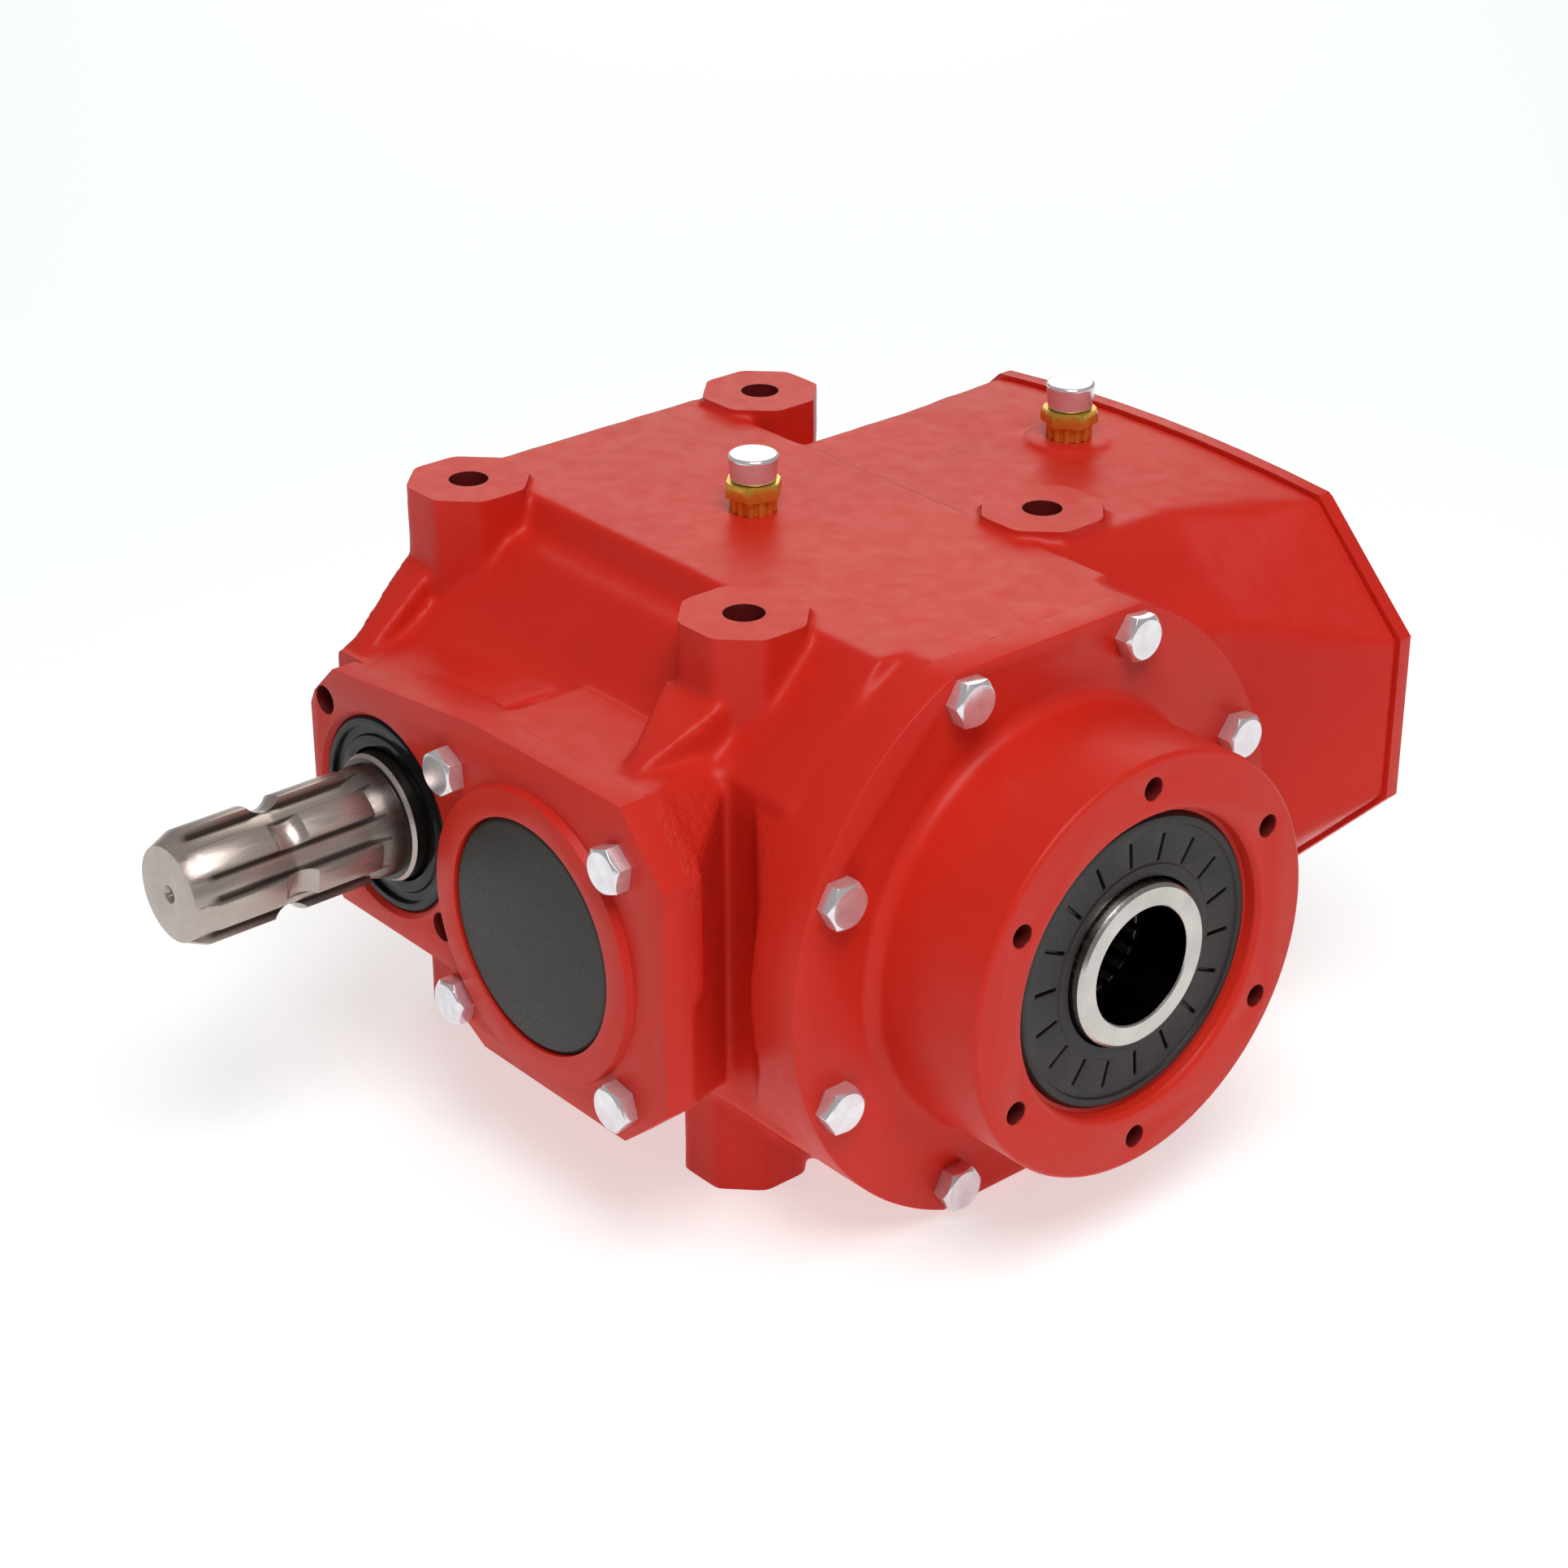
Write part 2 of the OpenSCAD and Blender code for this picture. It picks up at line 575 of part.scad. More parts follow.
module breather_body() {
    collar_h = 5;
    hex_h = 4.6;
    difference() {
        union() {
            translate([0, 0, -9]) cylinder(d = breather_thread_d, h = 10);
            for (i = [0:11]) rotate(30 * i) translate([6, 0, 0]) cylinder(r = 1.2, h = collar_h, $fn = 24);
            cylinder(r = 6.2, h = collar_h);
            intersection() {
                translate([0, 0, collar_h]) cylinder(r = 9.1, h = hex_h, $fn = 6);
                translate([0, 0, collar_h]) cylinder(r1 = 10, r2 = 8.3, h = hex_h);
            }
            translate([0, 0, collar_h + hex_h - 1]) cylinder(r = 4, h = 5);
        }
        translate([0, 0, -10]) cylinder(r = 1.5, h = 26);
    }
}
module breather_cap() {
    rotate_extrude() polygon(concat(
        [[4.1, 10], [7, 10], [7.5, 16]], arc([6.6, 17], 1, 0, 90, 5),
        [[0, 18.2], [0, 15.2], [4.1, 15.2]]
    ));
}
module at_breather(i) {
    translate([breather_points[i][0], breather_points[i][1], axis_height + breather_base[i]]) children();
}
module front_breather_body() { color(brass) at_breather(0) rotate(12) breather_body(); }
module front_breather_cap() { color(bright) at_breather(0) breather_cap(); }
module rear_breather_body() { color(brass) at_breather(1) rotate(40) breather_body(); }
module rear_breather_cap() { color(bright) at_breather(1) breather_cap(); }
// Threaded plug with a hexagon socket in its outer face at z = 0
module socket_plug() {
    difference() {
        translate([0, 0, -9]) cylinder(d = drain_thread_d, h = 9);
        translate([0, 0, -5]) cylinder(r = 3.5, h = 6, $fn = 6);
    }
}
module drain_plugs() {
    color(steel) at_axis() for (p = drain_points) translate(p) rotate([180, 0, 0]) socket_plug();
}
module level_plugs() {
    color(steel) at_axis() {
        translate([-body_left, level_point[0], level_point[1]]) rotate([0, -90, 0]) socket_plug();
        translate([rear_level_point[0], rear_face + 1.5, rear_level_point[1]]) along_y() socket_plug();
    }
}

// ---------------------------------------------------------------- bearings
module ball_outer(b) {
    mid = (b[0] + b[1]) / 4;
    ball = (b[1] - b[0]) * 0.155;
    difference() {
        ring(b[1] / 2, mid + ball * 0.45, b[2]);
        translate([0, 0, b[2] / 2]) rotate_extrude() translate([mid, 0]) circle(r = ball + 0.1, $fn = 36);
    }
}
module ball_inner(b) {
    mid = (b[0] + b[1]) / 4;
    ball = (b[1] - b[0]) * 0.155;
    difference() {
        ring(mid - ball * 0.45, b[0] / 2, b[2]);
        translate([0, 0, b[2] / 2]) rotate_extrude() translate([mid, 0]) circle(r = ball + 0.1, $fn = 36);
    }
}
module ball_set(b, n) {
    mid = (b[0] + b[1]) / 4;
    ball = (b[1] - b[0]) * 0.155;
    for (i = [0:n - 1]) rotate(360 / n * i) translate([mid, 0, b[2] / 2]) sphere(r = ball, $fn = 24);
}
// Taper bearing with its wide end at z = 0
module taper_cup(b) {
    rotate_extrude() polygon([
        [b[1] / 2, 0], [b[1] / 2, b[2]], [29.8 - taper, b[2]], [29.8 + taper, 0]
    ]);
}
module taper_cone(b) {
    rotate_extrude() polygon([
        [b[0] / 2, 0], [23.9 + taper, 0], [23.9 - taper, b[2]], [b[0] / 2, b[2]]
    ]);
}
module taper_rollers(b) {
    mid = 26.85;
    tilt = atan(2 * taper / b[2]);
    for (i = [0:16]) rotate(360 / 17 * i) translate([mid + taper * 0.82, 0, 1.5]) rotate([0, -tilt, 0])
        cylinder(r = 2.75, h = b[2] - 3, $fn = 24);
}
module at_input_front() { at_axis() at_input() translate([0, 0, input_front_bearing_y]) children(); }
module at_input_rear() { at_axis() at_input() translate([0, 0, input_rear_bearing_y]) children(); }
module at_front_taper() { at_axis() at_pinion() translate([0, 0, pinion_front_bearing_y]) children(); }
module at_rear_taper() {
    at_axis() at_pinion() translate([0, 0, pinion_rear_bearing_y + bearing_pinion[2]])
        mirror([0, 0, 1]) children();
}
module input_front_outer_ring() {
    color(bright) at_input_front() ball_outer(bearing_input_front);
}
module input_front_inner_ring() {
    color(bright) at_input_front() ball_inner(bearing_input_front);
}
module input_front_balls() {
    color(steel) at_input_front() ball_set(bearing_input_front, 14);
}
module input_rear_outer_ring() {
    color(bright) at_input_rear() ball_outer(bearing_input_rear);
}
module input_rear_inner_ring() {
    color(bright) at_input_rear() ball_inner(bearing_input_rear);
}
module input_rear_balls() {
    color(steel) at_input_rear() ball_set(bearing_input_rear, 12);
}
module pinion_front_cup() { color(bright) at_front_taper() taper_cup(bearing_pinion); }
module pinion_front_cone() { color(bright) at_front_taper() taper_cone(bearing_pinion); }
module pinion_front_rollers() { color(steel) at_front_taper() taper_rollers(bearing_pinion); }
module pinion_rear_cup() { color(bright) at_rear_taper() taper_cup(bearing_pinion); }
module pinion_rear_cone() { color(bright) at_rear_taper() taper_cone(bearing_pinion); }
module pinion_rear_rollers() { color(steel) at_rear_taper() taper_rollers(bearing_pinion); }
module at_output_inner() { at_axis() translate([output_inner_bearing_x, 0, 0]) along_x() children(); }
module at_output_end() { at_axis() translate([output_end_bearing_x, 0, 0]) along_x() children(); }
module output_inner_outer_ring() { color(bright) at_output_inner() ball_outer(bearing_output_inner); }
module output_inner_inner_ring() { color(bright) at_output_inner() ball_inner(bearing_output_inner); }
module output_inner_balls() { color(steel) at_output_inner() ball_set(bearing_output_inner, 14); }
module output_end_outer_ring() { color(bright) at_output_end() ball_outer(bearing_output_end); }
module output_end_inner_ring() { color(bright) at_output_end() ball_inner(bearing_output_end); }
module output_end_balls() { color(steel) at_output_end() ball_set(bearing_output_end, 14); }
module output_bearing_circlip() {
    color(steel) at_axis() translate([circlip_x, 0, 0]) along_x() difference() {
        ring(output_seal_d / 2 + 2, output_seal_d / 2 - 4, 2.5);
        translate([30, -4, -1]) cube([30, 8, 5]);
    }
}

// ---------------------------------------------------------------- splines and gears
module spline_profile(major_r, minor_r, w, n) {
    circle(r = minor_r);
    intersection() {
        circle(r = major_r);
        for (i = [0:n - 1]) rotate(360 / n * i) translate([0, -w / 2]) square([major_r + 1, w]);
    }
}
function involute(a) = tan(a) - a * PI / 180;
// Half the angle that a tooth spans at radius r, for a gear with pitch radius pr
function half_tooth(teeth, pr, shift, r) =
    let (base_r = pr * cos(pressure_angle), a = acos(min(1, base_r / max(r, base_r))))
    (90 + 180 / PI * 2 * shift * tan(pressure_angle)) / teeth - 180 / PI * backlash / pr
        + 180 / PI * (involute(pressure_angle) - involute(a));
// Outline of a spur gear with a tooth centred on the x axis
function spur_outline(teeth, m) =
    let (pr = teeth * m / 2, root = pr - 1.25 * m, tip = pr + m, steps = 5)
    [for (i = [0:teeth - 1], side = [-1, 1], k = [0:steps])
        let (r = root + (tip - root) * (side < 0 ? k : steps - k) / steps)
        polar(r, 360 / teeth * i + side * half_tooth(teeth, pr, 0, r))];
// Outline of a bevel gear on the plane through its outer pitch circle, seen from the apex
function bevel_outline(teeth, pr, cone, shift) =
    let (back_r = pr / cos(cone), root = back_r - (1.25 - shift) * bevel_module,
        tip = back_r + (1 + shift) * bevel_module, steps = 4, reach = pr / tan(cone))
    [for (i = [0:teeth - 1], side = [-1, 1], k = [0:steps])
        let (r = root + (tip - root) * (side < 0 ? k : steps - k) / steps,
            span = half_tooth(teeth / cos(cone), back_r, shift, r) / cos(cone))
        polar(r * cos(cone) * reach / (reach - (r - back_r) * sin(cone)), 360 / teeth * i + side * span)];
pinion_pr = pinion_teeth * bevel_module / 2;
crown_pr = crown_teeth * bevel_module / 2;
pinion_cone = atan(pinion_teeth / crown_teeth);
crown_cone = 90 - pinion_cone;
cone_length = sqrt(pinion_pr * pinion_pr + crown_pr * crown_pr);
toe = (cone_length - bevel_face) / cone_length;
tooth_shift = 0.4;
// Point on the back cone of a bevel gear, h above its pitch circle, as radius and apex distance
function back_cone(pr, cone, h) = [pr + h * cos(cone), pr / tan(cone) - h * sin(cone)];
// Teeth of a bevel gear with its apex at the origin and its axis along z
module bevel_teeth(teeth, pr, cone, shift, depth, low, high) {
    reach = pr / tan(cone);
    tip = back_cone(pr, cone, (1 + shift) * bevel_module);
    under = back_cone(pr, cone, -depth);
    intersection() {
        translate([0, 0, low]) linear_extrude(height = high - low, scale = high / low)
            polygon(bevel_outline(teeth, pr, cone, shift) * low / reach);
        rotate_extrude($fn = 60) polygon([tip, under, under * toe, tip * toe]);
    }
}

// ---------------------------------------------------------------- input shaft group
module input_shaft() {
    end = -input_reach;
    groove = end + lock_groove_from_end;
    major = spline_d / 2;
    minor = spline_root_d / 2;
    color(steel) at_axis() at_input() difference() {
        union() {
            translate([0, 0, end]) rotate(input_spline_angle) linear_extrude(62)
                spline_profile(major, minor, spline_w, 6);
            rotate_extrude() polygon([
                [0, end], [minor - 0.2, end], [minor, end + 1], [minor, end + 59], [major, end + 67],
                [major, -121],
                [19, -121], [20, -119.8], [20, -108], [17.5, -108], [17.5, -94], [16.5, -94], [16.5, -92.2],
                [17.5, -92.2], [17, -91], [17, 96], [15, 96], [15, 112], [13.2, 112], [13.2, 129],
                [12, 130], [0, 130]
            ]);
            translate([0, 0, 112]) linear_extrude(18) spline_profile(15, 13.2, 5, 6);
        }
        // Lead-in chamfer, lock groove, centre hole and circlip groove
        rotate_extrude() polygon([
            [minor - 0.2, end - 1], [minor - 0.2, end], [major + 0.1, end + 6.8],
            [major + 4, end + 6.8], [major + 4, end - 1]
        ]);
        translate([0, 0, groove]) rotate_extrude() translate([minor - 0.2 + 6.8, 0]) circle(r = 6.8);
        translate([0, 0, end - 1]) cylinder(r = 1.6, h = 9);
        translate([0, 0, end - eps]) cylinder(r1 = 2.8, r2 = 1.6, h = 2);
        translate([0, 0, 126.2]) ring(16, 14, 1.7);
    }
}
module input_front_circlip() {
    color(steel) at_axis() at_input() translate([0, 0, -94]) difference() {
        ring(20.5, 16.5, 1.8);
        translate([12, -2, -1]) cube([12, 4, 4]);
    }
}
module drive_gear_circlip() {
    color(steel) at_axis() at_input() translate([0, 0, 126.2]) difference() {
        ring(18, 14, 1.7);
        translate([10, -2, -1]) cube([12, 4, 4]);
    }
}
module drive_gear() {
    color(steel) at_axis() at_input() difference() {
        union() {
            translate([0, 0, spur_y]) rotate(mesh_angle) linear_extrude(spur_face)
                polygon(spur_outline(drive_teeth, spur_module));
            translate([0, 0, hub_back]) cylinder(r = 19, h = 14.2);
        }
        translate([0, 0, hub_back - 1]) linear_extrude(20) spline_profile(15, 13.2, 5, 6);
        translate([0, 0, spur_y - 1]) ring(28, 22, 3);
        translate([0, 0, spur_y + spur_face - 2]) ring(28, 22, 3);
    }
}

// ---------------------------------------------------------------- pinion shaft group
module pinion_shaft() {
    root = back_cone(pinion_pr, pinion_cone, -(1.25 - tooth_shift) * bevel_module);
    color(steel) at_axis() at_pinion() {
        rotate(180 / pinion_teeth)
            bevel_teeth(pinion_teeth, pinion_pr, pinion_cone, tooth_shift, 6, 44, 72);
        rotate_extrude() polygon([
            [0, root[1] * toe], root * toe, root, [24, 71], [24, 74], [17.5, 74], [17.5, 112], [14.8, 112],
            [14.8, 126], [14, 126], [14, 132], [13, 133], [0, 133]
        ]);
        translate([0, 0, 112]) linear_extrude(14) spline_profile(16.5, 14.8, 5, 6);
    }
}
module pinion_spacer() { color(steel) at_axis() at_pinion() translate([0, 0, 91]) ring(21, 17.5, 4); }
module driven_gear() {
    color(steel) at_axis() at_pinion() difference() {
        union() {
            translate([0, 0, spur_y]) rotate(180 + mesh_angle + 180 / driven_teeth) linear_extrude(spur_face)
                polygon(spur_outline(driven_teeth, spur_module));
            translate([0, 0, hub_back]) cylinder(r = 21, h = 2);
        }
        translate([0, 0, hub_back - 1]) linear_extrude(20) spline_profile(16.5, 14.8, 5, 6);
        translate([0, 0, spur_y - 1]) ring(31, 24, 3);
        translate([0, 0, spur_y + spur_face - 2]) ring(31, 24, 3);
    }
}
module tab_washer() {
    color(steel) at_axis() at_pinion() translate([0, 0, 126]) {
        ring(20, 14, 1.2);
        for (i = [0:7]) rotate(45 * i) translate([19.5, -1.5, 0]) cube([3, 3, 1.2]);
    }
}
module lock_nut() {
    color(steel) at_axis() at_pinion() translate([0, 0, 127.2]) difference() {
        ring(20.5, 14, 5);
        for (i = [0:3]) rotate(90 * i) translate([18.5, -2.5, -1]) cube([4, 5, 7]);
    }
}

// ---------------------------------------------------------------- output shaft group
module hollow_shaft() {
    outer = hollow_shaft_d / 2;
    entry = entry_bore_d / 2;
    entry_x = output_face - entry_bore_depth;
    color(steel) at_axis() along_x() difference() {
        rotate_extrude() polygon([
            [entry - 3, -7], [22.5, -7], [22.5, 14], [outer, 14], [outer, 62], [32, 62], [32, 70],
            [26, 70], [26, 100], [outer, 100], [outer, shaft_end - 1], [outer - 1, shaft_end],
            [entry - 3, shaft_end]
        ]);
        translate([0, 0, -8]) cylinder(r = 17, h = 7);
        translate([0, 0, -8]) cylinder(r = 16, h = shaft_end);
        translate([0, 0, entry_x]) cylinder(r = entry, h = 60);
        translate([0, 0, shaft_end - 0.6]) cylinder(r1 = entry, r2 = entry + 0.6, h = 0.6 + eps);
        // Internal splines
        translate([0, 0, entry_x - 58]) linear_extrude(60) for (i = [0:inner_spline_count - 1])
            rotate(360 / inner_spline_count * i)
                polygon([[15, -1.5], [17.5, -0.9], [17.5, 0.9], [15, 1.5]]);
        translate([22, -4, 73]) cube([10, 8, 24]);
    }
}
module shaft_plug() { color(steel) at_axis() translate([-6.5, 0, 0]) along_x() cylinder(r = 17, h = 5.5); }
module crown_key() { color(steel) at_axis() along_x() translate([22, -4, 73]) cube([7, 8, 24]); }
module crown_gear() {
    rim = back_cone(crown_pr, crown_cone, -9);
    color(steel) at_axis() translate([pinion_x, 0, 0]) along_x() difference() {
        union() {
            // The toothed rim is one closed solid, which the turned body enters by 2 mm
            resize([0, 0, 0]) rotate(90)
                bevel_teeth(crown_teeth, crown_pr, crown_cone, -tooth_shift, 11, 16, 42);
            rotate_extrude() polygon([
                [26, 26.5], [43, 26.5], rim * (toe + 0.006), rim * 0.994, [60.5, 41.5], [50, 44], [38, 44],
                [38, 56.5], [26, 56.5]
            ]);
        }
        translate([22, -4, 73 - pinion_x - 20]) cube([7.3, 8, 60]);
    }
}
module crown_spacer() {
    color(steel) at_axis() translate([100, 0, 0]) along_x() ring(30, hollow_shaft_d / 2, 28);
}

housing();
front_cover();
output_cover();
rear_cover();
front_gasket();
output_gasket();
rear_gasket();
front_cover_bolts();
output_cover_bolts();
rear_cover_bolts();
access_cap();
input_seal();
output_seal();
front_breather_body();
front_breather_cap();
rear_breather_body();
rear_breather_cap();
drain_plugs();
level_plugs();
input_shaft();
input_front_outer_ring();
input_front_inner_ring();
input_front_balls();
input_front_circlip();
input_rear_outer_ring();
input_rear_inner_ring();
input_rear_balls();
drive_gear();
drive_gear_circlip();
pinion_shaft();
pinion_front_cup();
pinion_front_cone();
pinion_front_rollers();
pinion_spacer();
pinion_rear_cup();
pinion_rear_cone();
pinion_rear_rollers();
driven_gear();
tab_washer();
lock_nut();
hollow_shaft();
shaft_plug();
crown_gear();
crown_key();
crown_spacer();
output_inner_outer_ring();
output_inner_inner_ring();
output_inner_balls();
output_end_outer_ring();
output_end_inner_ring();
output_end_balls();
output_bearing_circlip();
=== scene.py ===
"""Looks of a right angle bevel gearbox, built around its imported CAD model."""
import json
import math

import bmesh
import bpy
import numpy as np
from mathutils import Matrix, Vector, noise


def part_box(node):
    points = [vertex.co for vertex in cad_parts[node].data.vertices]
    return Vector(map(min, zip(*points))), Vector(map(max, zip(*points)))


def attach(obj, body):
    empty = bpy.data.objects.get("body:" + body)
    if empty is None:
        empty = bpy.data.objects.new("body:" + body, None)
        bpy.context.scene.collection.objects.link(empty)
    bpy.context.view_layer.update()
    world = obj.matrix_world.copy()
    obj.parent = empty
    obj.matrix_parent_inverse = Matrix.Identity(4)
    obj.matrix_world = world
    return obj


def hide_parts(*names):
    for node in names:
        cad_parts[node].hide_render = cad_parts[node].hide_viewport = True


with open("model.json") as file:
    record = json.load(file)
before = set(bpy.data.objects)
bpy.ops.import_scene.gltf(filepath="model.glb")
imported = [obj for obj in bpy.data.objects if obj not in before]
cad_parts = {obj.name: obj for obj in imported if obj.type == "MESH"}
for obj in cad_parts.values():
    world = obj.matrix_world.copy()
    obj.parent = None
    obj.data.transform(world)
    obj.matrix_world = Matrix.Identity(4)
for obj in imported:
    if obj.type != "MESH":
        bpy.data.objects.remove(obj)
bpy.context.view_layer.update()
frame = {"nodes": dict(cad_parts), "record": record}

MM = 0.001
X, Y, Z = 0, 1, 2
# Height of the output axis
AXIS_Z = 0.09
# Points closer than this are one point
WELD = 2e-6
scene = bpy.context.scene

# ---------------------------------------------------------------- camera
CAMERA_AT = Vector((0.7282, -0.6128, 0.5713))
LOOK_AT = Vector((0.0935, -0.0678, 0.1409))
camera_data = bpy.data.cameras.new("camera")
camera_data.lens = 78.276
camera_data.sensor_width = 36
camera_data.clip_end = 20
camera = bpy.data.objects.new("camera", camera_data)
camera.location = CAMERA_AT
camera.rotation_euler = (LOOK_AT - CAMERA_AT).to_track_quat("-Z", "Y").to_euler()
scene.collection.objects.link(camera)
scene.camera = camera


# ---------------------------------------------------------------- mesh helpers
def new_object(name, mesh):
    obj = bpy.data.objects.new(name, mesh)
    scene.collection.objects.link(obj)
    return obj


def from_bmesh(name, bm):
    mesh = bpy.data.meshes.new(name)
    bm.to_mesh(mesh)
    bm.free()
    return new_object(name, mesh)


def cad_copy(node, name):
    """A welded copy of a CAD node's mesh as a new piece."""
    bm = bmesh.new()
    bm.from_mesh(frame["nodes"][node].data)
    bmesh.ops.remove_doubles(bm, verts=bm.verts, dist=WELD)
    return from_bmesh(name, bm)


def modify(obj, kind, **settings):
    """Adds a modifier with these settings and applies it at once."""
    mod = obj.modifiers.new(kind, kind)
    for key, value in settings.items():
        setattr(mod, key, value)
    depsgraph = bpy.context.evaluated_depsgraph_get()
    mesh = bpy.data.meshes.new_from_object(obj.evaluated_get(depsgraph))
    old = obj.data
    obj.modifiers.clear()
    obj.data = mesh
    bpy.data.meshes.remove(old)
    return obj


def smooth_shade(obj, angle=35):
    obj.data.shade_smooth()
    obj.data.set_sharp_from_angle(angle=math.radians(angle))


def lies_in(edge, axis, value):
    return all(abs(v.co[axis] - value) < 0.01 * MM for v in edge.verts)


def soften(obj, width, segments=3, angle=32, joint=None):
    """Rounds the sharp edges of a machined piece.

    Edges that lie in the plane of its joint, given as (axis, value), stay sharp.
    """
    bm = bmesh.new()
    bm.from_mesh(obj.data)
    bmesh.ops.dissolve_limit(bm, angle_limit=math.radians(0.3), verts=bm.verts, edges=bm.edges)
    weight = bm.edges.layers.float.new("bevel_weight_edge")
    for edge in bm.edges:
        sharp = edge.is_manifold and edge.calc_face_angle() > math.radians(angle)
        at_joint = joint is not None and lies_in(edge, *joint)
        edge[weight] = 1.0 if sharp and not at_joint else 0.0
    bm.to_mesh(obj.data)
    bm.free()
    modify(obj, "BEVEL", width=width, segments=segments, limit_method="WEIGHT",
           use_clamp_overlap=True, harden_normals=False)
    smooth_shade(obj, 40)


def cylinder(axis, centre, radius, start, end, sides=64):
    """Closed cylinder along 'x', 'y' or 'z'; centre gives the two other coordinates, in order."""
    bm = bmesh.new()
    bmesh.ops.create_cone(bm, cap_ends=True, segments=sides,
                          radius1=radius, radius2=radius, depth=end - start)
    middle = (start + end) / 2
    if axis == "x":
        turn, place = Matrix.Rotation(math.pi / 2, 4, "Y"), (middle, centre[0], centre[1])
    elif axis == "y":
        turn, place = Matrix.Rotation(-math.pi / 2, 4, "X"), (centre[0], middle, centre[1])
    else:
        turn, place = Matrix.Identity(4), (centre[0], centre[1], middle)
    bm.transform(Matrix.Translation(place) @ turn)
    return from_bmesh("tool", bm)


def block(low, high):
    bm = bmesh.new()
    bmesh.ops.create_cube(bm, size=1)
    low, high = Vector(low), Vector(high)
    size = high - low
    bm.transform(Matrix.Translation((low + high) / 2) @ Matrix.Diagonal((*size, 1)))
    return from_bmesh("tool", bm)


def drop(obj):
    bpy.data.objects.remove(obj)


def boolean(obj, tool, operation):
    modify(obj, "BOOLEAN", operation=operation, solver="MANIFOLD", object=tool)
    drop(tool)


def cut(obj, tools):
    """Cuts all the tools out of obj, after joining them into one."""
    first = tools[0]
    for tool in tools[1:]:
        boolean(first, tool, "UNION")
    boolean(obj, first, "DIFFERENCE")


# ---------------------------------------------------------------- housing casting
VOXEL = 1.3 * MM
# Stock left on the machined faces until the casting has been rounded
ALLOWANCE = 3 * MM
# How far a cutting tool reaches out of the metal
OVERRUN = 5 * MM
# Farther out than any part of the casting
FAR = 0.4
housing_low, housing_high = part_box("housing")
FRONT_PLANE = housing_low.y
BACK_PLANE = housing_high.y
FLANGE_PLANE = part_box("output_gasket")[0].x
# Radius of the cut that faces the output flange, just past its rim
FLANGE_CUT_R = 95.5 * MM
MOUNTING_R = 6 * MM
MOUNTING_DEPTH = 24 * MM
INPUT_PASSAGE_R = 26.5 * MM
ACCESS_PASSAGE_R = 33 * MM
PINION_PASSAGE_R = 32 * MM
# The rear bores start here, in the hollow of the casing
REAR_BORES_Y = 60 * MM


def stock_left_on(bm):
    """Grows the machined faces outwards, to be cut flat after the casting is rounded."""
    planes = [
        (Vector((0, 0, 1)), housing_high.z), (Vector((0, 0, -1)), -housing_low.z),
        (Vector((0, -1, 0)), -FRONT_PLANE), (Vector((0, 1, 0)), BACK_PLANE),
        (Vector((1, 0, 0)), FLANGE_PLANE)
    ]
    for normal, distance in planes:
        faces = [f for f in bm.faces if f.normal.dot(normal) > 0.999
                 and all(abs(v.co.dot(normal) - distance) < 0.02 * MM for v in f.verts)]
        grown = bmesh.ops.extrude_face_region(bm, geom=faces)
        moved = [g for g in grown["geom"] if isinstance(g, bmesh.types.BMVert)]
        bmesh.ops.translate(bm, vec=normal * ALLOWANCE, verts=moved)
        bmesh.ops.delete(bm, geom=faces, context="FACES")


def mounting_holes():
    pattern = next(m for m in frame["record"]["mounts"] if m["name"] == "top_bosses")
    half_x = pattern["dims"]["spacing_x_mm"] * MM / 2
    half_y = pattern["dims"]["spacing_y_mm"] * MM / 2
    return [(sx * half_x, sy * half_y) for sx in (-1, 1) for sy in (-1, 1)]


def drilled(extra):
    """The mounting holes as cylinders, larger by extra in radius and in depth."""
    radius = MOUNTING_R + extra
    depth = MOUNTING_DEPTH + extra
    top, bottom = housing_high.z, housing_low.z
    tools = []
    for centre in mounting_holes():
        tools.append(cylinder("z", centre, radius, top - depth, top + OVERRUN, 48))
        tools.append(cylinder("z", centre, radius, bottom - OVERRUN, bottom + depth, 48))
    return tools


def seat_of(ring):
    """Centre (x, z) and radius of an outer ring on an axis from front to back."""
    low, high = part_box(ring)
    middle = (low + high) / 2
    return (middle.x, middle.z), (high.x - low.x) / 2


def bearing_bores():
    """The bores of the housing that hold rings, and the openings between them."""
    front_centre, front_r = seat_of("input_front_outer_ring")
    rear_r = seat_of("input_rear_outer_ring")[1]
    pinion_centre, cup_r = seat_of("pinion_front_cup")
    front_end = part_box("input_front_outer_ring")[1].y
    rear_start, rear_end = (corner.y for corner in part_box("input_rear_outer_ring"))
    cup_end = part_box("pinion_front_cup")[1].y
    last_start, last_end = (corner.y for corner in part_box("pinion_rear_cup"))
    inner_low, inner_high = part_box("output_inner_outer_ring")
    outside = FRONT_PLANE - OVERRUN
    return [
        cylinder("y", front_centre, front_r, outside, front_end),
        cylinder("y", front_centre, INPUT_PASSAGE_R, outside, FRONT_PLANE + 40 * MM),
        cylinder("y", front_centre, rear_r, rear_start, rear_end + OVERRUN),
        cylinder("y", front_centre, INPUT_PASSAGE_R, REAR_BORES_Y, rear_end),
        cylinder("y", pinion_centre, ACCESS_PASSAGE_R, outside, FRONT_PLANE + 45 * MM, 96),
        cylinder("y", pinion_centre, cup_r, REAR_BORES_Y, cup_end),
        cylinder("y", pinion_centre, PINION_PASSAGE_R, REAR_BORES_Y, last_end),
        cylinder("y", pinion_centre, cup_r, last_start, last_end + OVERRUN),
        cylinder("x", (0, AXIS_Z), (inner_high.z - inner_low.z) / 2, inner_low.x, inner_high.x + 20 * MM),
    ]


def fade(distance, length):
    return min(1, max(0, distance / length))


